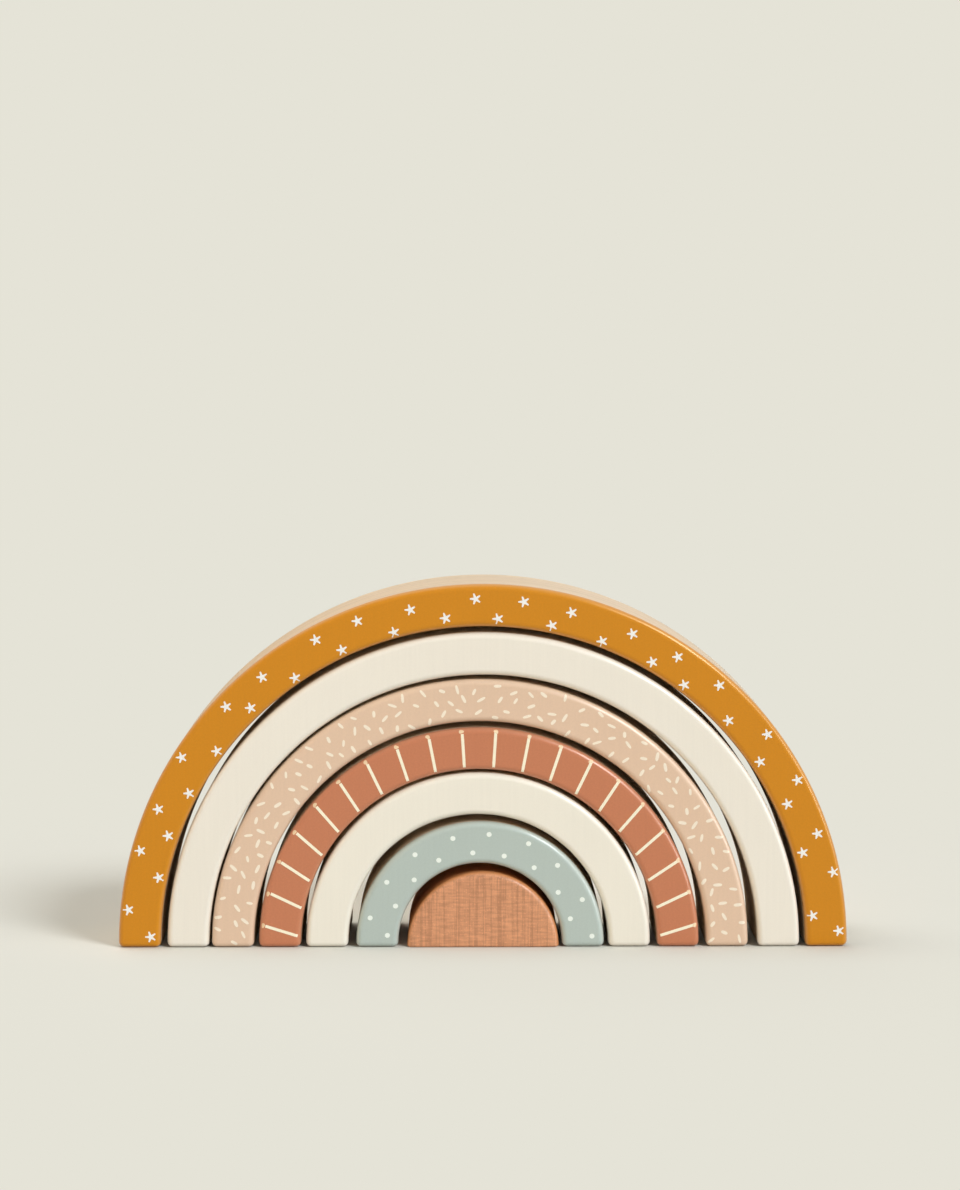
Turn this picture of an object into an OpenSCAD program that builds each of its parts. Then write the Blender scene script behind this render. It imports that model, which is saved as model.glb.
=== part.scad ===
// Rainbow stacker: six loose wooden arches nested over a half-disc centre block.
// The stack stands on the XY plane. X runs along its width, Y front to back, Z up.
// The origin is on the floor, under the middle of the largest arch.

/* [Nest] */
// Radius of the half-disc centre block
centre_r = 28.4; // [20:0.2:40]
// Thickness of every arch, from its inner curve to its outer curve
band_t = 15.8; // [10:0.1:24]
// Mean clearance between one piece and the next
nest_gap = 2.2; // [1.8:0.1:4]
// Depth of every piece, front face to back face
depth = 40; // [25:1:70]

/* [Finish] */
// Round-over on the edges of the arches and round the rim of the centre block
edge_r = 2.2; // [0.6:0.1:3]
// Round-over under the centre block, where its disc is sawn through the middle
sawn_edge_r = 0.6; // [0.2:0.1:2]
// Share of the unevenness left by hand work and hand nesting: 0 is a true concentric nest
unevenness = 1; // [0:0.1:1]

/* [Hidden] */
NODES = [
    "centre_half_disc",
    "sage_arch",
    "inner_cream_arch",
    "terracotta_arch",
    "pink_arch",
    "outer_cream_arch",
    "mustard_arch"
];

$fn = 96;

// How far each piece stands to the side of the largest arch, centre block first
side_shift = [-0.1, -1.2, -1.9, -1.6, -1.2, 0.1, 0];
// How far each crown stands above a true half circle, centre block first
crown_rise = [0, 1.1, 1.6, 0.6, 0.6, 0, 0];

// Room left beside the curved walls where the foot edges are rounded
foot_slack = 0.08;
// Half size of the space that the cutting outlines reach over
reach = 2 * (centre_r + len(NODES) * (band_t + nest_gap));

function outer_radius(place) = centre_r + place * (band_t + nest_gap);
function inner_radius(place) = outer_radius(place) - band_t;

// Rectangle from one corner to the opposite one, with all four corners rounded
module rounded_rectangle(low, high, r) {
    translate([low.x + r, low.y])
        square([high.x - low.x - 2 * r, high.y - low.y]);
    translate([low.x, low.y + r])
        square([high.x - low.x, high.y - low.y - 2 * r]);
    for (x = [low.x + r, high.x - r], y = [low.y + r, high.y - r])
        translate([x, y]) circle(r);
}

// Full ring about the Y axis, or a full disc where the inner radius is 0
module rounded_ring(r_in, r_out) {
    rotate([90, 0, 0])
        rotate_extrude()
            intersection() {
                rounded_rectangle([r_in > 0 ? r_in : -r_out, -depth / 2], [r_out, depth / 2], edge_r);
                translate([0, -depth]) square([2 * r_out, 2 * depth]);
            }
}

// Outline that stands on the floor: rounded feet over the given spans, and everything above them
module standing_outline(spans, foot_r) {
    translate([-reach, foot_r]) square([2 * reach, 2 * reach]);
    for (span = spans)
        rounded_rectangle([span[0] - foot_slack, 0], [span[1] + foot_slack, 4 * foot_r], foot_r);
}

// Ring cut off at the floor, with its feet rounded along both directions
module standing_piece(place, r_in, foot_spans, foot_r) {
    translate([unevenness * side_shift[place], 0, 0])
        intersection() {
            translate([0, 0, unevenness * crown_rise[place]])
                rounded_ring(r_in, outer_radius(place));
            rotate([90, 0, 0])
                linear_extrude(2 * depth, center = true)
                    standing_outline(foot_spans, foot_r);
            rotate([90, 0, 90])
                linear_extrude(2 * reach, center = true)
                    standing_outline([[-depth / 2, depth / 2]], foot_r);
        }
}

// Arch in the given place of the nest, counted outwards from the centre block
module arch(place) {
    r_in = inner_radius(place);
    r_out = outer_radius(place);
    standing_piece(place, r_in, [[r_in, r_out], [-r_out, -r_in]], edge_r);
}

module centre_half_disc() {
    color("#cd936c") standing_piece(0, 0, [[-centre_r, centre_r]], sawn_edge_r);
}

module sage_arch() {
    color("#b6c0b5") arch(1);
}

module inner_cream_arch() {
    color("#ebe5d2") arch(2);
}

module terracotta_arch() {
    color("#bf7754") arch(3);
}

module pink_arch() {
    color("#ddba9e") arch(4);
}

module outer_cream_arch() {
    color("#e8e2cf") arch(5);
}

module mustard_arch() {
    color("#cc8621") arch(6);
}

centre_half_disc();
sage_arch();
inner_cream_arch();
terracotta_arch();
pink_arch();
outer_cream_arch();
mustard_arch();
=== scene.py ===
"""Rainbow stacker: painted beech arches nested over a half-disc centre block, with printed marks.

Lengths are in metres. X runs along the width, Y from front to back, Z up from the floor.
"""

import math
from collections import namedtuple

import bpy
import numpy as np
from bpy.props import FloatProperty, FloatVectorProperty, IntProperty, PointerProperty
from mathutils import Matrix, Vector


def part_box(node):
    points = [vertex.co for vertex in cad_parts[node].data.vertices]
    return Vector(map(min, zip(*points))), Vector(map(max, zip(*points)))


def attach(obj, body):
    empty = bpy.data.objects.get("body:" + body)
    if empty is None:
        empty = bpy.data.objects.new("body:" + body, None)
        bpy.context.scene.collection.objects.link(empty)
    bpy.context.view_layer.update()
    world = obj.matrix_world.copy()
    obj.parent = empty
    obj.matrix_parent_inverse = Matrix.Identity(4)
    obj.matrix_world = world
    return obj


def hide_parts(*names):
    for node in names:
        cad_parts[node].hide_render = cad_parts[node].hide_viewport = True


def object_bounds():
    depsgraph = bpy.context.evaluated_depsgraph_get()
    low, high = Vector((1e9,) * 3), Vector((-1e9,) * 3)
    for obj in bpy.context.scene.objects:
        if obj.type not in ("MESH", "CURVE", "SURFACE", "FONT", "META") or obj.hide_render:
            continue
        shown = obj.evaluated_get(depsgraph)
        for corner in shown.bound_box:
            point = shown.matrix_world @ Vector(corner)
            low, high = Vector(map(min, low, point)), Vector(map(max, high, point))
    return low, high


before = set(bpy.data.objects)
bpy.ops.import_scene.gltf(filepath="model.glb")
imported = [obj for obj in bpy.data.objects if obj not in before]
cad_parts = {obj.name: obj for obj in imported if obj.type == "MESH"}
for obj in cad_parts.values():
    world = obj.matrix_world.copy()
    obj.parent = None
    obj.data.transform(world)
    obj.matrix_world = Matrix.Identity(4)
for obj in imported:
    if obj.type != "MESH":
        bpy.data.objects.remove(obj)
CAD_LOW, CAD_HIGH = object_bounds()

bl_info = {
    "name": "Rainbow stacker",
    "version": (1, 0, 0),
    "blender": (4, 5, 0),
    "location": "3D View > Sidebar > Stacker",
    "description": "Builds the painted arches, the centre block, their printed marks and the stage",
    "category": "Object",
}

MM = 0.001
CENTRE_NODE = "centre_half_disc"
DEPTH = CAD_HIGH.y - CAD_LOW.y

# Node, body, record slot and paint of each arch, from the inside out
ArchKind = namedtuple("ArchKind", "node body slot paint seed")
ARCH_KINDS = (
    ArchKind("sage_arch", "sage", "sage_paint", "sage", 11),
    ArchKind("inner_cream_arch", "inner_cream", "cream_paint", "inner_cream", 12),
    ArchKind("terracotta_arch", "terracotta", "terracotta_paint", "terracotta", 13),
    ArchKind("pink_arch", "pink", "blush_paint", "blush", 14),
    ArchKind("outer_cream_arch", "outer_cream", "cream_paint", "outer_cream", 15),
    ArchKind("mustard_arch", "mustard", "mustard_paint", "mustard", 16),
)


def linear(code):
    """Scene-linear colour of a six-figure sRGB code, by the standard sRGB curve."""
    srgb = np.array([int(code[i:i + 2], 16) for i in (0, 2, 4)]) / 255
    return tuple(np.where(srgb <= 0.04045, srgb / 12.92, ((srgb + 0.055) / 1.055) ** 2.4).tolist())


def length(name, description, value_mm):
    """A length property, given in millimetres."""
    return FloatProperty(name=name, description=description, default=value_mm * MM, min=0, unit="LENGTH")


def colour(name, description, code):
    """A colour property, given as an sRGB code."""
    return FloatVectorProperty(name=name, description=description, default=linear(code), min=0, max=1,
                               size=3, subtype="COLOR")


class StackerSizes(bpy.types.PropertyGroup):
    """Sizes of the arches and of the marks printed on them."""

    band: length("Band", "Thickness of an arch between its two curves", 15.8)
    edge_round: length("Edge round", "Mean radius of the rounded edges", 2.2)
    foot_round: length("Foot round", "Radius of the edges round each foot", 1.9)
    sawn_round: length("Sawn round", "Radius of the edges under the centre block", 0.6)
    ink: length("Ink", "Height of the printed ink over the paint", 0.03)
    star: length("Star", "Reach of a star's arm from its middle", 2.1)
    star_count: IntProperty(name="Stars", description="Stars on one face of the mustard arch", default=40)
    sprinkle: length("Sprinkle", "Mean length of a sprinkle", 3.0)
    sprinkle_width: length("Sprinkle width", "Mean width of a sprinkle", 1.15)
    sprinkle_columns: IntProperty(name="Sprinkle columns", description="Sprinkles along the blush arch",
                                  default=46)
    sprinkle_rows: IntProperty(name="Sprinkle rows", description="Sprinkles across the blush arch", default=3)
    spoke_width: length("Spoke width", "Width of a spoke", 1.1)
    spoke_head: length("Spoke head", "Mean size of the blob at a spoke's outer end", 1.7)
    spoke_count: IntProperty(name="Spokes", description="Spokes on one face of the terracotta arch",
                             default=20)
    spoke_aim: length("Spoke aim", "Depth under the floor of the point that the spokes aim at", 17)
    dot: length("Dot", "Diameter of a dot", 1.85)
    dot_count: IntProperty(name="Dots", description="Dots on one face of the sage arch", default=18)


class StackerColours(bpy.types.PropertyGroup):
    """Colours of the paints, the inks and the wood."""

    mustard: colour("Mustard", "Paint of the largest arch", "C97F04")
    outer_cream: colour("Outer cream", "Paint of the larger cream arch", "EBE4D4")
    blush: colour("Blush", "Paint of the pink arch", "DDBEA1")
    terracotta: colour("Terracotta", "Paint of the terracotta arch", "BE7550")
    inner_cream: colour("Inner cream", "Paint of the smaller cream arch", "ECE6D5")
    sage: colour("Sage", "Paint of the grey-green arch", "B1BDB4")
    beech: colour("Beech", "Bare beech of the curved walls", "EED7B9")
    tinted_beech: colour("Tinted beech", "Oiled beech of the centre block", "CA8F68")
    star_ink: colour("Star ink", "Ink of the stars", "F0EEE6")
    sprinkle_ink: colour("Sprinkle ink", "Ink of the sprinkles", "F3E6D0")
    spoke_ink: colour("Spoke ink", "Ink of the spokes", "F8F0D2")
    head_ink: colour("Head ink", "Ink of the blobs at the ends of the spokes", "EBCFA8")
    dot_ink: colour("Dot ink", "Ink of the dots", "EDF3E8")


class StageSettings(bpy.types.PropertyGroup):
    """Camera, lamps and floor."""

    camera_place: FloatVectorProperty(name="Camera", description="Where the camera stands",
                                      default=(-0.008, -0.91, 0.226), subtype="XYZ", unit="LENGTH")
    camera_pitch: FloatProperty(name="Pitch", description="How far the camera looks down",
                                default=math.radians(6), unit="ROTATION")
    camera_yaw: FloatProperty(name="Yaw", description="How far the camera looks to the right",
                              default=math.radians(0.436), unit="ROTATION")
    camera_lens: FloatProperty(name="Lens", description="Focal length on a 36 mm film", default=73.5)
    backdrop: colour("Backdrop", "Floor and background", "E5E3D7")
    ambient: FloatProperty(name="Ambient", description="Even light from all round", default=0.14)
    key: FloatProperty(name="Key", description="Light of the broad lamp at the right", default=0.5)
    edge: FloatProperty(name="Edge", description="Light of the low lamp at the right", default=0.25)
    warm: FloatProperty(name="Warm", description="Light of the low warm lamp at the left", default=0.45)
    fill: FloatProperty(name="Fill", description="Light of the lamp straight in front", default=0.5)
    back: FloatProperty(name="Back", description="Light of the lamp straight behind", default=0.7)
    top: FloatProperty(name="Top", description="Light of the wide lamp overhead", default=0.46)
    floor_glow: FloatProperty(name="Floor glow", description="Share of the floor that shows no shadow",
                              default=0.06)


# Waves of the hand-sanded edge, per turn, and their share of its radius
EDGE_WAVES = np.array([3, 7, 16, 31])
EDGE_RIPPLE = 0.1


class Arch:
    """Where one arch stands, read from its solid's box: its middle, radii and the rise of its crown."""

    def __init__(self, kind, sizes):
        low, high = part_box(kind.node)
        self.kind = kind
        self.middle = (low.x + high.x) / 2
        self.outer = (high.x - low.x) / 2
        self.half_band = sizes.band / 2
        self.half_depth = (high.y - low.y) / 2
        self.radius = self.outer - self.half_band
        self.rise = max(high.z - self.outer, 0)
        self.foot = sizes.foot_round
        self.edge = sizes.edge_round
        self.draw = np.random.default_rng(kind.seed)
        self.phases = self.draw.uniform(0, 2 * math.pi, len(EDGE_WAVES))

    def corner(self, angle):
        """Radius of the rounded edges at an angle: the mean radius and a slow ripple of hand sanding."""
        waves = np.sin(np.multiply.outer(angle, EDGE_WAVES) + self.phases)
        return self.edge * (1 + EDGE_RIPPLE * waves.mean(axis=-1))

    def inset(self, travel):
        """How far the section shrinks at a distance along the arch from the floor: a quarter circle."""
        short = np.clip(self.foot - travel, 0, self.foot)
        return self.foot - np.sqrt(self.foot ** 2 - short ** 2)

    def travel(self, x, z):
        """Distance from the floor, along the middle of the band, of a place on the face."""
        angle = np.arctan2(np.maximum(z - self.rise, 0), np.abs(x))
        return np.minimum(z, self.rise) + self.radius * angle


def grid_faces(rows, columns):
    """Quads of a grid whose columns close into a ring, wound so that they face out of the ring."""
    row, column = np.meshgrid(np.arange(rows - 1), np.arange(columns), indexing="ij")
    here = row * columns + column
    beside = row * columns + (column + 1) % columns
    return np.stack([here, beside, beside + columns, here + columns], axis=-1).reshape(-1, 4)


def make_piece(name, points, faces, material, flat_faces=()):
    """A piece with its place in its mesh: smooth faces, and flat ones that close its ends."""
    mesh = bpy.data.meshes.new(name)
    mesh.from_pydata(points.reshape(-1, 3).tolist(), [], [*faces.tolist(), *flat_faces])
    smooth = np.arange(len(mesh.polygons)) < len(faces)
    mesh.polygons.foreach_set("use_smooth", smooth)
    mesh.materials.append(material)
    mesh.update()
    piece = bpy.data.objects.new(name, mesh)
    bpy.context.scene.collection.objects.link(piece)
    return piece


def make_skin(name, points, material):
    """A piece from rows of rings, with a flat face that closes its first ring and one its last."""
    rows, columns = points.shape[:2]
    ring = np.arange(columns)
    caps = [ring[::-1].tolist(), (ring + (rows - 1) * columns).tolist()]
    return make_piece(name, points, grid_faces(rows, columns), material, caps)


CORNER_POINTS = 10
SIDE_CUTS = np.array([0.02, 0.16, 0.33, 0.5, 0.67, 0.84, 0.98])


def section_walk():
    """Signs and outward normals round a rounded rectangle, in order, as rows of (across, back).

    A point of the section is sign * (half size - corner) + corner * normal. At a corner the sign stays and
    the normal turns by a quarter. On a side the normal stays and the sign slides to the next corner."""
    corners = np.array([(1, 1), (-1, 1), (-1, -1), (1, -1)], float)
    signs, normals = [], []
    for turn in range(4):
        angle = np.linspace(turn, turn + 1, CORNER_POINTS) * math.pi / 2
        normal = np.stack([np.cos(angle), np.sin(angle)], axis=1)
        here = corners[turn]
        there = corners[(turn + 1) % 4]
        signs += [np.tile(here, (CORNER_POINTS, 1)), here + np.outer(SIDE_CUTS, there - here)]
        normals += [normal, np.tile(normal[-1], (len(SIDE_CUTS), 1))]
    return np.concatenate(signs), np.concatenate(normals)


FOOT_STEPS = 9
ARC_STEPS = 240


def arch_surface(arch):
    """Points of an arch, one row per station from the right foot over the crown to the left foot.

    The rounded section stands square to a path that rises straight from the floor, turns half a circle
    and comes straight down. Near the floor the section shrinks along a quarter circle."""
    signs, normals = section_walk()
    half_way = arch.rise + arch.radius * math.pi / 2
    foot = arch.foot * (1 - np.cos(np.linspace(0, math.pi / 2, FOOT_STEPS)))
    up = np.concatenate([foot, np.linspace(arch.foot, half_way, ARC_STEPS // 2 + 1)[1:]])
    turned = np.maximum(up - arch.rise, 0) / arch.radius
    angle = np.concatenate([turned, math.pi - turned[-2::-1]])[:, None]
    travel = np.concatenate([up, up[-2::-1]])[:, None]
    corner = arch.corner(angle[:, 0])[:, None]
    full = corner - arch.inset(travel)
    across = arch.radius + signs[:, 0] * (arch.half_band - corner) + full * normals[:, 0]
    back = signs[:, 1] * (arch.half_depth - corner) + full * normals[:, 1]
    x = arch.middle + across * np.cos(angle)
    z = np.minimum(travel, arch.rise) + across * np.sin(angle)
    return np.stack([x, back, z], axis=-1)


BASE_CUTS = np.linspace(0, 1, 26)[1:-1]
FACE_RINGS = np.array([0.02, 0.25, 0.5, 0.75])
WALL_CUTS = np.array([0.02, 0.15, 0.3, 0.5, 0.7, 0.85, 0.98])
FACE_HEART = 0.45


def half_disc_outlines(radius, rise, corner):
    """Outlines of half discs that stand on a floor, as (x, z), one row per radius and rise of the middle.

    A circle of the corner's radius rolls on the floor until it touches the big circle from inside, where
    sin(lean) = (corner - rise) / (radius - corner). Its arcs are the two foot corners."""
    inner = (radius - corner)[:, None]
    lean = np.arcsin((corner - rise)[:, None] / inner)
    right = (1 + 2 * lean / math.pi) * np.linspace(0, math.pi / 2, CORNER_POINTS) - math.pi / 2
    arc = lean + (math.pi - 2 * lean) * np.linspace(0, 1, ARC_STEPS // 2)[1:-1]
    base = np.full((len(radius), len(BASE_CUTS)), -math.pi / 2)
    foot_x = inner * np.cos(lean)
    foot_z = np.full_like(right, corner)
    middle_x = np.concatenate([
        np.broadcast_to(foot_x, right.shape),
        inner * np.cos(arc),
        np.broadcast_to(-foot_x, right.shape),
        foot_x * (2 * BASE_CUTS - 1),
    ], axis=1)
    middle_z = np.concatenate([
        foot_z,
        rise[:, None] + inner * np.sin(arc),
        foot_z,
        np.full_like(base, corner),
    ], axis=1)
    angle = np.concatenate([right, arc, math.pi - right[:, ::-1], base], axis=1)
    return np.stack([middle_x + corner * np.cos(angle), middle_z + corner * np.sin(angle)], axis=-1)


def centre_surface(sizes):
    """Points of the centre block, one ring per row from the middle of the back face to the front face.

    Over the rim the radius shrinks along a quarter circle towards each face. The floor under an outline
    rises along a smaller quarter circle. Inside a face the outline shrinks to a point."""
    low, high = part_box(CENTRE_NODE)
    full = (high.x - low.x) / 2
    half_depth = (high.y - low.y) / 2
    corner, sawn = sizes.edge_round, sizes.sawn_round
    turn = np.linspace(math.pi / 2, 0, CORNER_POINTS)
    straight = half_depth - corner
    radius = np.concatenate([
        full - corner * (1 - np.cos(turn)),
        np.full(len(WALL_CUTS), full),
        full - corner * (1 - np.cos(turn[::-1])),
    ])
    back = np.concatenate([
        straight + corner * np.sin(turn),
        straight * (1 - 2 * WALL_CUTS),
        -straight - corner * np.sin(turn[::-1]),
    ])
    past = np.maximum(np.abs(back) - (half_depth - sawn), 0)
    floor = sawn - np.sqrt(sawn ** 2 - past ** 2)
    rim = half_disc_outlines(radius, max(high.z - full, 0) - floor, sawn)
    rim[..., 1] += floor[:, None]
    heart = np.array([0, high.z * FACE_HEART])
    rings = FACE_RINGS[:, None, None]
    outline = np.concatenate([
        heart + rings * (rim[0] - heart),
        rim,
        heart + rings[::-1] * (rim[-1] - heart),
    ])
    face = np.full(len(FACE_RINGS), half_depth)
    rows_back = np.concatenate([face, back, -face])
    y = np.broadcast_to(rows_back[:, None], outline.shape[:2])
    return np.stack([(low.x + high.x) / 2 + outline[..., 0], y, outline[..., 1]], axis=-1)


STAR_ARMS = 5
STAR_NOTCH = 0.375
STAR_BLUNT = math.radians(7)


def star_outline(reach):
    """A star with blunt arm tips at full reach and notches at a share of it."""
    step = math.pi / STAR_ARMS
    arms = math.pi + np.arange(STAR_ARMS) * 2 * step
    angle = np.stack([arms - STAR_BLUNT, arms + STAR_BLUNT, arms + step], axis=1).ravel()
    far = np.tile([reach, reach, reach * STAR_NOTCH], STAR_ARMS)
    return np.stack([far * np.cos(angle), far * np.sin(angle)], axis=1)


def bar_outline(long, wide, bulge, end_points, side_points):
    """A bar along X whose ends swell by the bulge along half an ellipse, with points along its sides."""
    turn = np.linspace(-math.pi / 2, math.pi / 2, end_points)
    straight = long / 2 - bulge
    side = np.linspace(1, -1, side_points + 2)[1:-1] * straight
    end = np.stack([straight + bulge * np.cos(turn), wide / 2 * np.sin(turn)], axis=1)
    top = np.stack([side, np.full(side_points, wide / 2)], axis=1)
    half = np.concatenate([end, top])
    return np.concatenate([half, -half])


BLUNT_POWER = 0.7


def blunt_oval_outline(long, wide, points):
    """An oval along X with blunt ends: x = long/2 * |cos|^power, z = wide/2 * sin."""
    turn = np.arange(points) * 2 * math.pi / points
    cos, sin = np.cos(turn), np.sin(turn)
    return np.stack([long / 2 * np.sign(cos) * np.abs(cos) ** BLUNT_POWER, wide / 2 * sin], axis=1)


def turned(outline, angle):
    """An outline turned by each of the angles, one row of points per angle."""
    cos, sin = np.cos(angle)[:, None], np.sin(angle)[:, None]
    x, z = outline[..., 0], outline[..., 1]
    return np.stack([x * cos - z * sin, x * sin + z * cos], axis=-1)


# How deep the ink's rim goes into the paint, and how far round the edges and down the feet marks may reach
INK_ROOT = 0.1 * MM
EDGE_SHARE = 0.94
FOOT_SHARE = 0.25


def on_face(arch, flat, lift):
    """Places on the arch's front, lifted off the paint, from places (x, z) on the face plane.

    Past the flat the surface falls away along the rounded edge: back = sqrt(corner^2 - past^2). Places that
    would miss the arch are drawn back to its edge."""
    x, z = flat[..., 0], np.maximum(flat[..., 1], arch.foot * FOOT_SHARE)
    rise = np.minimum(z, arch.rise)
    angle = np.arctan2(z - rise, x)
    corner = arch.corner(angle)
    full = corner - arch.inset(arch.travel(x, z))
    off = np.hypot(x, z - rise) - arch.radius
    straight = arch.half_band - corner
    most = straight + full * EDGE_SHARE
    off = np.clip(off, -most, most)
    past = np.maximum(np.abs(off) - straight, 0)
    y = corner - arch.half_depth - np.sqrt((full + lift) ** 2 - past ** 2)
    across = arch.radius + off
    return np.stack([across * np.cos(angle), y, rise + across * np.sin(angle)], axis=-1)


def make_marks(name, arch, outlines, rings, material):
    """Flat ink marks on both faces of an arch: each is a stack of rings from its middle to its outline,
    with a rim that goes down into the paint. The back has the same print, turned half round."""
    count, around = outlines.shape[:2]
    middle = outlines.mean(axis=1, keepdims=True)
    shares = np.array(rings)[None, :, None, None]
    flat = middle[:, None] + shares * (outlines - middle)[:, None]
    ink = bpy.context.scene.stacker_sizes.ink
    top = on_face(arch, flat, ink)
    root = on_face(arch, flat[:, -1:], -INK_ROOT)
    front = np.concatenate([top, root], axis=1)
    points = np.concatenate([front, front * (-1, -1, 1)]) + (arch.middle, 0, 0)
    rows = len(rings) + 1
    mark = np.arange(2 * count)[:, None] * rows * around
    faces = (mark[:, :, None] + grid_faces(rows, around)[None, :, ::-1]).reshape(-1, 4)
    ring = np.arange(around)
    caps = np.concatenate([mark + ring, mark + ring[::-1] + (rows - 1) * around])
    piece = make_piece(name, points, faces[:0], material, [*faces.tolist(), *caps.tolist()])
    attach(piece, arch.kind.body)


class Value:
    """A shader socket that can stand in a sum: each operator adds one Math node to its tree."""

    def __init__(self, shader, socket):
        self.shader = shader
        self.socket = socket

    def maths(self, operation, first, second):
        return self.shader.node("ShaderNodeMath", {"operation": operation}, {0: first, 1: second})

    def __add__(self, other):
        return self.maths("ADD", self, other)

    def __radd__(self, other):
        return self.maths("ADD", other, self)

    def __sub__(self, other):
        return self.maths("SUBTRACT", self, other)

    def __rsub__(self, other):
        return self.maths("SUBTRACT", other, self)

    def __mul__(self, other):
        return self.maths("MULTIPLY", self, other)

    def __rmul__(self, other):
        return self.maths("MULTIPLY", other, self)

    def __truediv__(self, other):
        return self.maths("DIVIDE", self, other)

    def __pow__(self, other):
        return self.maths("POWER", self, other)

    def __mod__(self, other):
        return self.maths("FLOORED_MODULO", self, other)

    def __abs__(self):
        return self.maths("ABSOLUTE", self, 0)


class Shader:
    """One node tree of a material or a world, and the nodes that it is made of."""

    def __init__(self, owner):
        owner.use_nodes = True
        self.owner = owner
        self.tree = owner.node_tree
        self.tree.nodes.clear()

    def node(self, kind, settings=None, sockets=None, output=0):
        """Adds a node, sets its settings first, then gives its sockets their values or links."""
        made = self.tree.nodes.new(kind)
        for key, value in (settings or {}).items():
            setattr(made, key, value)
        for key, value in (sockets or {}).items():
            if isinstance(value, Value):
                self.tree.links.new(value.socket, made.inputs[key])
            else:
                made.inputs[key].default_value = value
        return Value(self, made.outputs[output]) if made.outputs else None

    def place(self):
        """Object coordinates, in metres."""
        return self.node("ShaderNodeTexCoord", output="Object")

    def parts(self, vector):
        """The three parts of a vector."""
        split = self.node("ShaderNodeSeparateXYZ", None, {0: vector}).socket.node
        return [Value(self, out) for out in split.outputs]

    def stretched(self, vector, turn, scale):
        """A vector turned and scaled by a Mapping node, so that a pattern runs along one way."""
        return self.node("ShaderNodeMapping", None, {"Vector": vector, "Rotation": turn, "Scale": scale})

    def noise(self, vector, scale, detail=2.0, roughness=0.5):
        """Noise of about 0 to 1 around one half."""
        sockets = {"Vector": vector, "Scale": scale, "Detail": detail, "Roughness": roughness}
        return self.node("ShaderNodeTexNoise", None, sockets)

    def between(self, value, low, high):
        """0 below low, 1 above high, and a smooth step between them."""
        sockets = {"Value": value, "From Min": low, "From Max": high}
        return self.node("ShaderNodeMapRange", {"interpolation_type": "SMOOTHSTEP"}, sockets)

    def blend(self, share, first, second):
        """The first colour at share 0 and the second at 1."""
        settings = {"data_type": "RGBA", "clamp_factor": True}
        return self.node("ShaderNodeMix", settings, {0: share, 6: first, 7: second}, output=2)

    def bump(self, height, distance, strength=1.0):
        """A normal from a height of 0 to 1 that stands for the given distance."""
        sockets = {"Height": height, "Distance": distance, "Strength": strength}
        return self.node("ShaderNodeBump", None, sockets)

    def surface(self, shader):
        """Joins a shader to the output."""
        whole = "World" if isinstance(self.owner, bpy.types.World) else "Material"
        self.node("ShaderNodeOutput" + whole, None, {"Surface": shader})
        return self.owner


def toned(rgb, factor):
    """A colour made lighter or darker, as a socket wants it."""
    return (*[min(c * factor, 1) for c in rgb], 1)


# The arches' beech: noise cells per metre across, back and along the grain, and its growth rings
GRAIN_ALONG_X = (0, math.pi / 2, 0)
WAVER_CELLS = (9, 14, 4)
FIBRE_CELLS = (90, 1700, 26)
STREAK_CELLS = (14, 330, 6)
FLECK_CELLS = (320, 1300, 240)
PITH_ACROSS, PITH_BACK = 40 * MM, 200 * MM
RING_PITCH = 5.2 * MM
RING_WAVER = 12 * MM


def beech_grain(shader, place, turn):
    """Tone and height of beech, whose grain runs along the turned Z: growth rings round a pith far behind,
    fine fibres, and the short dark flecks of its rays."""
    board = shader.stretched(place, turn, (1, 1, 1))
    waver = shader.noise(shader.stretched(place, turn, WAVER_CELLS), 1, 1)
    across, back, _ = shader.parts(board)
    aside, behind = across - PITH_ACROSS, back - PITH_BACK
    pith = (aside * aside + behind * behind) ** 0.5
    ring = ((pith + waver * RING_WAVER) / RING_PITCH) % 1
    late = ring * ring
    fibre = shader.noise(shader.stretched(place, turn, FIBRE_CELLS), 1, 2, 0.6)
    streak = shader.noise(shader.stretched(place, turn, STREAK_CELLS), 1, 2)
    fleck_noise = shader.noise(shader.stretched(place, turn, FLECK_CELLS), 1, 0)
    fleck = shader.between(fleck_noise, 0.7, 0.8)
    tone = 0.62 - late * 0.22 + (fibre - 0.5) * 0.5 + (streak - 0.5) * 0.9 - fleck * 0.3
    height = fibre * 0.7 + streak * 0.3
    return tone, height


def matt_wood(shader, wood, height, normal):
    """Dry wood with hardly any sheen."""
    return shader.node("ShaderNodeBsdfPrincipled", None, {
        "Base Color": wood,
        "Roughness": 0.8 + (height - 0.4) * 0.2,
        "Specular IOR Level": 0.1,
        "Normal": normal,
    })


# The centre block's beech: the lean of its grain, noise cells per metre, and the painted warm edge light that
# turns its rounded rim a deeper orange
STREAK_LEAN = (0, math.radians(-8), 0)
HATCH_LEAN = (0, math.radians(12), 0)
CENTRE_STREAK_CELLS = (430, 430, 16)
CENTRE_LINE_CELLS = (400, 400, 7)
CENTRE_FIBRE_CELLS = (1300, 1300, 110)
CENTRE_HATCH_CELLS = (170, 600, 1150)
CENTRE_SPECK_CELLS = 1500
CENTRE_GRAIN_HEIGHT = 0.08 * MM
WARM_RIM_WIDTH = 1.2 * MM
WARM_RIM_SHARE = 0.7
WARM_RIM_TINT = (1.04, 0.86, 0.5)


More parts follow.
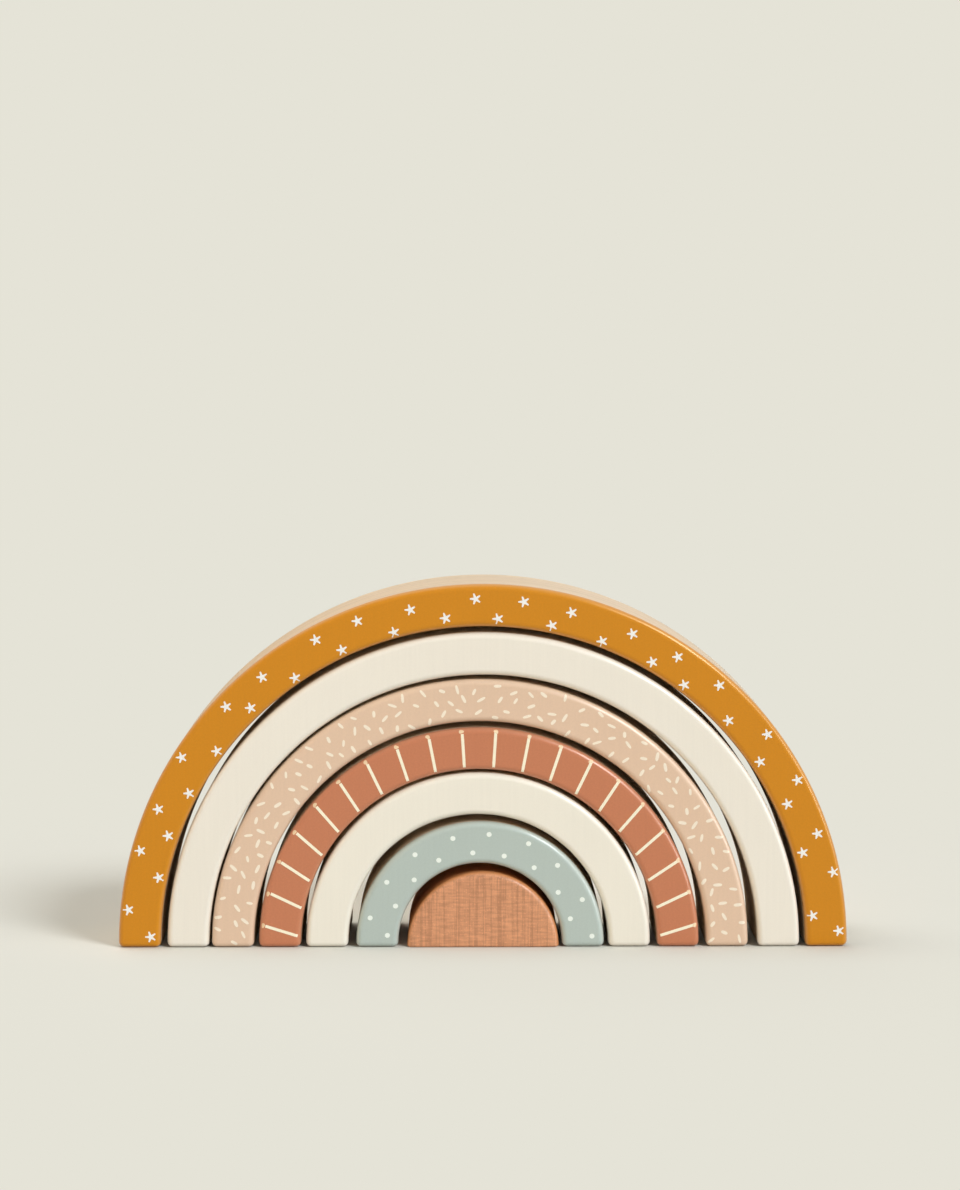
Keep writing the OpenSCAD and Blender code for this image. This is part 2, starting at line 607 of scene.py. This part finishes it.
def centre_beech(colours, sizes):
    """Oiled beech of the centre block: upright dark streaks that lean a little, crossed by a fine hatch.
    The curved wall between the two faces is dry. Its rounded rim is tinted a deeper orange as painted warm
    edge light."""
    shader = Shader(bpy.data.materials.new("tinted_beech"))
    place = shader.place()
    streak = shader.noise(shader.stretched(place, STREAK_LEAN, CENTRE_STREAK_CELLS), 1, 2, 0.6)
    light = shader.between(streak, 0.36, 0.56)
    line_noise = shader.noise(shader.stretched(place, STREAK_LEAN, CENTRE_LINE_CELLS), 1, 1)
    line = shader.between(abs(line_noise - 0.5), 0, 0.05)
    fibre = shader.noise(shader.stretched(place, STREAK_LEAN, CENTRE_FIBRE_CELLS), 1, 2, 0.6)
    hatch = shader.noise(shader.stretched(place, HATCH_LEAN, CENTRE_HATCH_CELLS), 1, 1)
    speck = shader.between(shader.noise(place, CENTRE_SPECK_CELLS, 0), 0.64, 0.74)
    tone = light * 0.14 + line * 0.44 + (hatch - 0.5) * 1.5 + (fibre - 0.5) * 1.1 + speck * 0.4
    rgb = colours.tinted_beech
    back = abs(shader.parts(place)[1])
    plain = shader.blend(tone, toned(rgb, 0.78), toned(rgb, 1.25))
    # Painted warm edge light: the rounded rim is tinted a deeper orange
    rim = shader.between(DEPTH / 2 - back, WARM_RIM_WIDTH * 0.2, WARM_RIM_WIDTH)
    warm_rim_colour = [c * share for c, share in zip(rgb, WARM_RIM_TINT)]
    base = shader.blend(rim * WARM_RIM_SHARE, plain, (*warm_rim_colour, 1))
    height = hatch * 0.5 + fibre * 0.5
    normal = shader.bump(height, CENTRE_GRAIN_HEIGHT, 0.5)
    oiled = shader.node("ShaderNodeBsdfPrincipled", None, {
        "Base Color": base,
        "Roughness": 0.34 - (tone - 0.5) * 0.1,
        "Specular IOR Level": 0.5,
        "Normal": normal,
    })
    face = shader.between(back, DEPTH / 2 - sizes.edge_round, DEPTH / 2 - sizes.edge_round * 0.5)
    dry = matt_wood(shader, base, height, normal)
    return shader.surface(shader.node("ShaderNodeMixShader", None, {0: face, 1: dry, 2: oiled}))


# The paint's limit on the rounded edge, how it wavers and blurs, and how far the edge shows the beech: worn
# paint, and painted warm light bounced off the bare wood
PAINT_REACH = 0.95
PAINT_WAVER = 0.5 * MM
PAINT_BLUR = 0.12 * MM
SURFACE_HEIGHT = 0.05 * MM
EDGE_WEAR_AND_BOUNCE = 1 * MM
WORN_AND_BOUNCE_SHARE = 0.1
SHEEN_TINT = 0.14
DRIFT_CELLS, CLOUD_CELLS, PEEL_CELLS = 260, 30, 1400
TELEGRAPH_CELLS = (900, 900, 30)


def painted_beech(arch, colours):
    """Satin paint under a half-weight clear coat on the two faces and their rounded edges, and bare beech on
    the curved walls between. The grain below shows faintly through the paint. Near the walls the paint takes
    a share of beech colour: worn paint, and painted warm bounce light."""
    shader = Shader(bpy.data.materials.new(arch.kind.paint + "_paint_on_beech"))
    place = shader.place()
    back = shader.parts(place)[1]
    rgb = getattr(colours, arch.kind.paint)
    drift = shader.noise(place, DRIFT_CELLS, 2)
    reach = abs(back) + (drift - 0.5) * PAINT_WAVER
    limit = arch.half_depth - arch.edge * PAINT_REACH
    paint = shader.between(reach, limit - PAINT_BLUR, limit + PAINT_BLUR)
    tone, height = beech_grain(shader, place, GRAIN_ALONG_X)
    wood = shader.blend(tone, toned(colours.beech, 0.74), toned(colours.beech, 1.12))
    cloud = shader.noise(place, CLOUD_CELLS, 1)
    telegraph = shader.noise(shader.stretched(place, GRAIN_ALONG_X, TELEGRAPH_CELLS), 1, 2)
    peel = shader.noise(place, PEEL_CELLS, 2)
    # Darker paints look more mottled
    mottle = 2 * (1 - rgb[1])
    shade = 0.5 + (cloud - 0.5) * 0.4 + (telegraph - 0.5) * 0.5 + (peel - 0.5) * mottle
    full = shader.blend(shade, toned(rgb, 0.94), toned(rgb, 1.05))
    # Beech colour mixed into the paint near the walls: worn paint, and painted warm light bounced off the
    # bare wood
    thin_and_bounce = shader.between(arch.half_depth - abs(back), EDGE_WEAR_AND_BOUNCE * 0.15, EDGE_WEAR_AND_BOUNCE)
    coat = shader.blend(thin_and_bounce * WORN_AND_BOUNCE_SHARE, full, toned(colours.beech, 1))
    film = peel * 0.04 + telegraph * 0.06
    normal = shader.bump(film * paint + height * (1 - paint), SURFACE_HEIGHT, 0.35)
    bare = matt_wood(shader, wood, height, normal)
    sheen = [(c / max(rgb)) ** SHEEN_TINT for c in rgb]
    painted = shader.node("ShaderNodeBsdfPrincipled", None, {
        "Base Color": coat,
        "Roughness": 0.31 + (peel - 0.5) * 0.06,
        "Specular IOR Level": 0.75,
        "Specular Tint": (*sheen, 1),
        "Coat Weight": 0.5,
        "Coat Roughness": 0.3,
        "Normal": normal,
    })
    return shader.surface(shader.node("ShaderNodeMixShader", None, {0: paint, 1: bare, 2: painted}))


INK_CELLS = 900


def printed_ink(name, rgb):
    """Matt ink, a little uneven where the pad left it thinner."""
    shader = Shader(bpy.data.materials.new(name))
    patch = shader.noise(shader.place(), INK_CELLS, 2)
    return shader.surface(shader.node("ShaderNodeBsdfPrincipled", None, {
        "Base Color": shader.blend(patch, toned(rgb, 0.93), toned(rgb, 1.04)),
        "Roughness": 0.5 + patch * 0.16,
        "Specular IOR Level": 0.28,
    }))


def arch_named(node):
    """The arch of one node."""
    kind = next(kind for kind in ARCH_KINDS if kind.node == node)
    return Arch(kind, bpy.context.scene.stacker_sizes)


def on_ring(radius, angle, rise):
    """Places (x, z) at a radius and an angle round an arch's middle."""
    return np.stack([radius * np.cos(angle), rise + radius * np.sin(angle)], axis=-1)


class STACKER_OT_arches(bpy.types.Operator):
    """Build the six painted arches"""

    bl_idname = "stacker.arches"
    bl_label = "Painted arches"

    def execute(self, context):
        for kind in ARCH_KINDS:
            arch = Arch(kind, context.scene.stacker_sizes)
            paint = painted_beech(arch, context.scene.stacker_colours)
            piece = make_skin("painted_" + kind.node, arch_surface(arch), paint)
            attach(piece, kind.body)
            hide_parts(kind.node)
        return {"FINISHED"}


class STACKER_OT_centre(bpy.types.Operator):
    """Build the half-disc centre block"""

    bl_idname = "stacker.centre"
    bl_label = "Centre block"

    def execute(self, context):
        sizes = context.scene.stacker_sizes
        wood = centre_beech(context.scene.stacker_colours, sizes)
        piece = make_skin("grained_centre_block", centre_surface(sizes), wood)
        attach(piece, "centre")
        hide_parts(CENTRE_NODE)
        return {"FINISHED"}


# Rows of stars from the band's middle, outer and inner: at the crown, and how far they move out to the feet
STAR_ROWS = np.array([2, -4.8]) * MM
STAR_ROW_SHIFTS = np.array([2.4, 1]) * MM
STAR_DRIFT = 0.3
STAR_SCATTER = 1 * MM
STAR_RINGS = (0.25, 0.5, 0.75, 1)


class STACKER_OT_stars(bpy.types.Operator):
    """Print the stars on the mustard arch, in two rows that take turns"""

    bl_idname = "stacker.stars"
    bl_label = "Stars"

    def execute(self, context):
        sizes = context.scene.stacker_sizes
        arch = arch_named("mustard_arch")
        count = sizes.star_count
        number = np.arange(count)
        angle = (number + 0.5 + arch.draw.uniform(-STAR_DRIFT, STAR_DRIFT, count)) * math.pi / count
        low_down = np.cos(angle) ** 2
        row = STAR_ROWS[number % 2] + STAR_ROW_SHIFTS[number % 2] * low_down
        row = row + arch.draw.uniform(-STAR_SCATTER, STAR_SCATTER, count)
        middle = on_ring(arch.radius + row, angle, arch.rise)
        outlines = middle[:, None] + star_outline(sizes.star)
        ink = printed_ink("star_ink", context.scene.stacker_colours.star_ink)
        make_marks("mustard_stars", arch, outlines, STAR_RINGS, ink)
        return {"FINISHED"}


# Sprinkles: shares of a column and of a row by which they stray, and their least and most length and width
SPRINKLE_STAGGER = np.array([0.25, 0.75])
SPRINKLE_DRIFT = 0.22
SPRINKLE_SCATTER = 0.3
SPRINKLE_MARGIN = 1.6 * MM
SPRINKLE_LEAST, SPRINKLE_MOST = (0.78, 0.85), (1.22, 1.15)
SPRINKLE_POINTS = 12
BLOB_RINGS = (0.35, 0.7, 1)


class STACKER_OT_sprinkles(bpy.types.Operator):
    """Scatter the sprinkles over the pink arch, each turned its own way"""

    bl_idname = "stacker.sprinkles"
    bl_label = "Sprinkles"

    def execute(self, context):
        sizes = context.scene.stacker_sizes
        arch = arch_named("pink_arch")
        columns, rows = sizes.sprinkle_columns, sizes.sprinkle_rows
        column, row = [a.ravel() for a in np.meshgrid(np.arange(columns), np.arange(rows), indexing="ij")]
        count = columns * rows
        along = column + SPRINKLE_STAGGER[row % 2]
        angle = (along + arch.draw.uniform(-SPRINKLE_DRIFT, SPRINKLE_DRIFT, count)) * math.pi / columns
        across = (row + 0.5 + arch.draw.uniform(-SPRINKLE_SCATTER, SPRINKLE_SCATTER, count)) / rows - 0.5
        middle = on_ring(arch.radius + across * (sizes.band - SPRINKLE_MARGIN), angle, arch.rise)
        shape = blunt_oval_outline(sizes.sprinkle, sizes.sprinkle_width, SPRINKLE_POINTS)
        varied = shape * arch.draw.uniform(SPRINKLE_LEAST, SPRINKLE_MOST, (count, 1, 2))
        outlines = middle[:, None] + turned(varied, arch.draw.uniform(0, math.pi, count))
        ink = printed_ink("sprinkle_ink", context.scene.stacker_colours.sprinkle_ink)
        make_marks("blush_sprinkles", arch, outlines, BLOB_RINGS, ink)
        return {"FINISHED"}


# Spokes: how far they stay from the inner edge, and from the outer edge at the right and at the left
SPOKE_INNER_GAP = 1.1 * MM
SPOKE_RIGHT_GAP, SPOKE_LEFT_GAP = 1.2 * MM, 2.1 * MM
SPOKE_END_POINTS, SPOKE_SIDE_POINTS = 5, 12
SPOKE_RINGS = (0.5, 0.7, 0.8, 0.86, 0.91, 0.955, 1)

# Heads of the spokes: two ripples on a circle, flattened along the spoke, a little aside at the left
HEAD_POINTS = 14
HEAD_TWOFOLD, HEAD_THREEFOLD = 0.14, 0.1
HEAD_FLATTEN = 0.85
HEAD_GAP = 1.25 * MM
HEAD_LEFT_ASIDE = 0.3 * MM
HEAD_SCATTER = 0.25 * MM


class STACKER_OT_spokes(bpy.types.Operator):
    """Print the spokes on the terracotta arch, each with a small head on the outer edge"""

    bl_idname = "stacker.spokes"
    bl_label = "Spokes"

    def execute(self, context):
        sizes = context.scene.stacker_sizes
        arch = arch_named("terracotta_arch")
        count = sizes.spoke_count
        ink = printed_ink("spoke_ink", context.scene.stacker_colours.spoke_ink)
        angle = (np.arange(count) + 0.5) * math.pi / count
        middle = on_ring(arch.radius, angle, arch.rise)
        aim = np.arctan2(middle[:, 1] + sizes.spoke_aim, middle[:, 0])
        left = angle > math.pi / 2
        half = sizes.band / 2
        inner_end = SPOKE_INNER_GAP - half
        outer_end = half - np.where(left, SPOKE_LEFT_GAP, SPOKE_RIGHT_GAP)
        bar = bar_outline(1, sizes.spoke_width, 0, SPOKE_END_POINTS, SPOKE_SIDE_POINTS)
        spokes = np.repeat(bar[None], count, axis=0)
        spokes[..., 0] = (spokes[..., 0] + 0.5) * (outer_end - inner_end)[:, None] + inner_end
        outlines = middle[:, None] + turned(spokes, aim)
        make_marks("terracotta_spokes", arch, outlines, SPOKE_RINGS, ink)
        turn = np.arange(HEAD_POINTS) * 2 * math.pi / HEAD_POINTS
        bumps = arch.draw.uniform(0, 2 * math.pi, (count, 2, 1))
        twofold = HEAD_TWOFOLD * np.sin(2 * turn + bumps[:, 0])
        threefold = HEAD_THREEFOLD * np.sin(3 * turn + bumps[:, 1])
        blob = (1 + twofold + threefold) * sizes.spoke_head / 2
        heads = np.stack([blob * np.cos(turn) * HEAD_FLATTEN, blob * np.sin(turn)], axis=-1)
        aside = np.where(left, HEAD_LEFT_ASIDE, 0) + arch.draw.uniform(-HEAD_SCATTER, HEAD_SCATTER, count)
        heads = heads + np.stack([np.full(count, half - HEAD_GAP), aside], axis=-1)[:, None]
        outlines = middle[:, None] + turned(heads, aim)
        ink = printed_ink("head_ink", context.scene.stacker_colours.head_ink)
        make_marks("terracotta_spoke_heads", arch, outlines, BLOB_RINGS, ink)
        return {"FINISHED"}


# Dots: two rows about the band's middle, and dots a little longer than wide
DOT_ROWS = np.array([3.4, -3.4]) * MM
DOT_DRIFT = 0.12
DOT_SCATTER = 0.5 * MM
DOT_STRETCH = 1.04
DOT_END_POINTS, DOT_SIDE_POINTS = 10, 1
DOT_RINGS = (0.5, 1)


class STACKER_OT_dots(bpy.types.Operator):
    """Print the dots on the sage arch, in two rows that take turns"""

    bl_idname = "stacker.dots"
    bl_label = "Dots"

    def execute(self, context):
        sizes = context.scene.stacker_sizes
        arch = arch_named("sage_arch")
        count = sizes.dot_count
        number = np.arange(count)
        angle = (number + 0.5 + arch.draw.uniform(-DOT_DRIFT, DOT_DRIFT, count)) * math.pi / count
        row = DOT_ROWS[number % 2] + arch.draw.uniform(-DOT_SCATTER, DOT_SCATTER, count)
        middle = on_ring(arch.radius + row, angle, arch.rise)
        long = sizes.dot * DOT_STRETCH
        outline = bar_outline(long, sizes.dot, sizes.dot / 2, DOT_END_POINTS, DOT_SIDE_POINTS)
        outlines = middle[:, None] + outline
        ink = printed_ink("dot_ink", context.scene.stacker_colours.dot_ink)
        make_marks("sage_dots", arch, outlines, DOT_RINGS, ink)
        return {"FINISHED"}


BACKDROP_RAYS = ("Camera", "Glossy", "Transmission")
FILM_WIDTH = 36

# Floor: its size, and the distances over which it turns into the backdrop, drawn out to the sides
FLOOR_HALF = 12
FLOOR_DROP = 0.1 * MM
FLOOR_NEAR, FLOOR_FAR = 0.08, 0.3
FLOOR_SPREAD = 0.18
# Past the stack's own outline the floor shows less shadow, and still less before its front face
FLOOR_EDGE = 5 * MM
FLOOR_AHEAD = 0.75
FLOOR_AHEAD_FROM, FLOOR_AHEAD_TO = 10 * MM, -30 * MM
# How pale the floor is to the camera and to the light that falls back on the stack
FLOOR_GAIN = 1.06
FLOOR_BOUNCE = 0.22

WHITE_LIGHT = (1, 1, 1)
COOL_LIGHT = (0.95, 0.99, 1.06)
SOFT_LIGHT = (1.03, 1.005, 0.97)
WARM_LIGHT = (1, 0.7, 0.38)

# Where each lamp stands, how wide it looks in degrees, whether it leaves highlights, and its colour
LampKind = namedtuple("LampKind", "name towards spread gloss rgb")
LAMP_KINDS = (
    LampKind("key", (0.6, -0.46, 0.65), 18, True, COOL_LIGHT),
    LampKind("edge", (0.91, -0.36, 0.2), 24, True, COOL_LIGHT),
    LampKind("warm", (-0.985, -0.16, 0.006), 6, False, WARM_LIGHT),
    LampKind("fill", (0, -1, 0.006), 0.5, False, SOFT_LIGHT),
    LampKind("back", (0, 1, 0.006), 0.5, False, WHITE_LIGHT),
    LampKind("top", (-0.36, 0.3, 0.88), 60, False, SOFT_LIGHT),
)


def backdrop_rays(shader):
    """1 for the rays that see the plain backdrop: the camera's own, and those mirrored or let through."""
    path = shader.node("ShaderNodeLightPath").socket.node.outputs
    camera, glossy, through = [Value(shader, path[f"Is {kind} Ray"]) for kind in BACKDROP_RAYS]
    return camera + glossy + through


def pale_floor(backdrop, glow):
    """A matt floor near the object that turns into the plain backdrop colour further off. The light that
    falls back on the object comes from a dim floor."""
    shader = Shader(bpy.data.materials.new("pale_floor"))
    x, y, _ = shader.parts(shader.place())
    away = (x * x * FLOOR_SPREAD + y * y) ** 0.5
    beside = shader.between(abs(x), CAD_HIGH.x, CAD_HIGH.x + FLOOR_EDGE)
    before = shader.between(abs(y), CAD_HIGH.y, CAD_HIGH.y + FLOOR_EDGE)
    ahead = shader.between(y, FLOOR_AHEAD_FROM - CAD_HIGH.y, FLOOR_AHEAD_TO - CAD_HIGH.y)
    outside = beside + before - beside * before
    clear = (glow + FLOOR_AHEAD * ahead) * outside
    share = clear + (1 - clear) * shader.between(away, FLOOR_NEAR, FLOOR_FAR)
    matt = shader.node("ShaderNodeBsdfDiffuse", None, {"Color": toned(backdrop, FLOOR_GAIN)})
    plain = shader.node("ShaderNodeEmission", None, {"Color": (*backdrop, 1)})
    seen = shader.node("ShaderNodeMixShader", None, {0: share, 1: matt, 2: plain})
    lit = shader.node("ShaderNodeBsdfDiffuse", None, {"Color": toned(backdrop, FLOOR_BOUNCE)})
    rays = backdrop_rays(shader)
    return shader.surface(shader.node("ShaderNodeMixShader", None, {0: rays, 1: lit, 2: seen}))


def studio_world(world, backdrop, ambient):
    """The backdrop colour where it is seen or mirrored, and an even white light for the rest."""
    shader = Shader(world)
    rays = backdrop_rays(shader)
    plain = shader.node("ShaderNodeBackground", None, {"Color": (*backdrop, 1), "Strength": 1})
    light = shader.node("ShaderNodeBackground", None, {"Color": (1, 1, 1, 1), "Strength": ambient})
    shader.surface(shader.node("ShaderNodeMixShader", None, {0: rays, 1: light, 2: plain}))


def add_lamp(kind, strength):
    """A lamp far away in its direction. A strength of 1 lights a facing surface to its own colour."""
    name = kind.name + "_lamp"
    data = bpy.data.lights.new(name, "SUN")
    data.energy = strength * math.pi
    data.color = kind.rgb
    data.angle = math.radians(kind.spread)
    lamp = bpy.data.objects.new(name, data)
    lamp.rotation_euler = Vector(kind.towards).to_track_quat("Z", "Y").to_euler()
    lamp.visible_glossy = kind.gloss
    bpy.context.scene.collection.objects.link(lamp)


class STACKER_OT_stage(bpy.types.Operator):
    """Set the floor, the lamps and the camera"""

    bl_idname = "stacker.stage"
    bl_label = "Stage"

    def execute(self, context):
        scene = context.scene
        stage = scene.stacker_stage
        square = np.array([(-1, -1, 0), (1, -1, 0), (1, 1, 0), (-1, 1, 0)])
        corners = square * FLOOR_HALF - (0, 0, FLOOR_DROP)
        matt = pale_floor(stage.backdrop, stage.floor_glow)
        floor = make_piece("floor", corners, np.arange(4)[None], matt)
        scene.world = scene.world or bpy.data.worlds.new("studio")
        studio_world(scene.world, stage.backdrop, stage.ambient)
        for kind in LAMP_KINDS:
            add_lamp(kind, getattr(stage, kind.name))
        data = bpy.data.cameras.new("camera")
        data.lens = stage.camera_lens
        data.sensor_width = FILM_WIDTH
        camera = bpy.data.objects.new("camera", data)
        camera.location = stage.camera_place
        camera.rotation_euler = (math.pi / 2 - stage.camera_pitch, 0, -stage.camera_yaw)
        scene.collection.objects.link(camera)
        scene.camera = camera
        scene.view_settings.view_transform = "Standard"
        return {"FINISHED"}


PIECE_OPERATORS = (
    STACKER_OT_arches,
    STACKER_OT_centre,
    STACKER_OT_stars,
    STACKER_OT_sprinkles,
    STACKER_OT_spokes,
    STACKER_OT_dots,
    STACKER_OT_stage,
)


class STACKER_PT_panel(bpy.types.Panel):
    """Sizes, colours and the build buttons"""

    bl_idname = "STACKER_PT_panel"
    bl_label = "Rainbow stacker"
    bl_space_type = "VIEW_3D"
    bl_region_type = "UI"
    bl_category = "Stacker"

    def draw(self, context):
        scene = context.scene
        for group in (scene.stacker_sizes, scene.stacker_colours, scene.stacker_stage):
            box = self.layout.box()
            for key in group.__annotations__:
                box.prop(group, key)
        for operator in PIECE_OPERATORS:
            self.layout.operator(operator.bl_idname)


GROUPS = {
    "stacker_sizes": StackerSizes,
    "stacker_colours": StackerColours,
    "stacker_stage": StageSettings,
}
CLASSES = (*GROUPS.values(), *PIECE_OPERATORS, STACKER_PT_panel)


def register():
    for cls in CLASSES:
        bpy.utils.register_class(cls)
    for name, group in GROUPS.items():
        setattr(bpy.types.Scene, name, PointerProperty(type=group))


def unregister():
    for name in GROUPS:
        delattr(bpy.types.Scene, name)
    for cls in reversed(CLASSES):
        bpy.utils.unregister_class(cls)


def main():
    register()
    bpy.ops.stacker.stage()
    bpy.ops.stacker.arches()
    bpy.ops.stacker.centre()
    bpy.ops.stacker.stars()
    bpy.ops.stacker.sprinkles()
    bpy.ops.stacker.spokes()
    bpy.ops.stacker.dots()


if __name__ == "__main__":
    main()
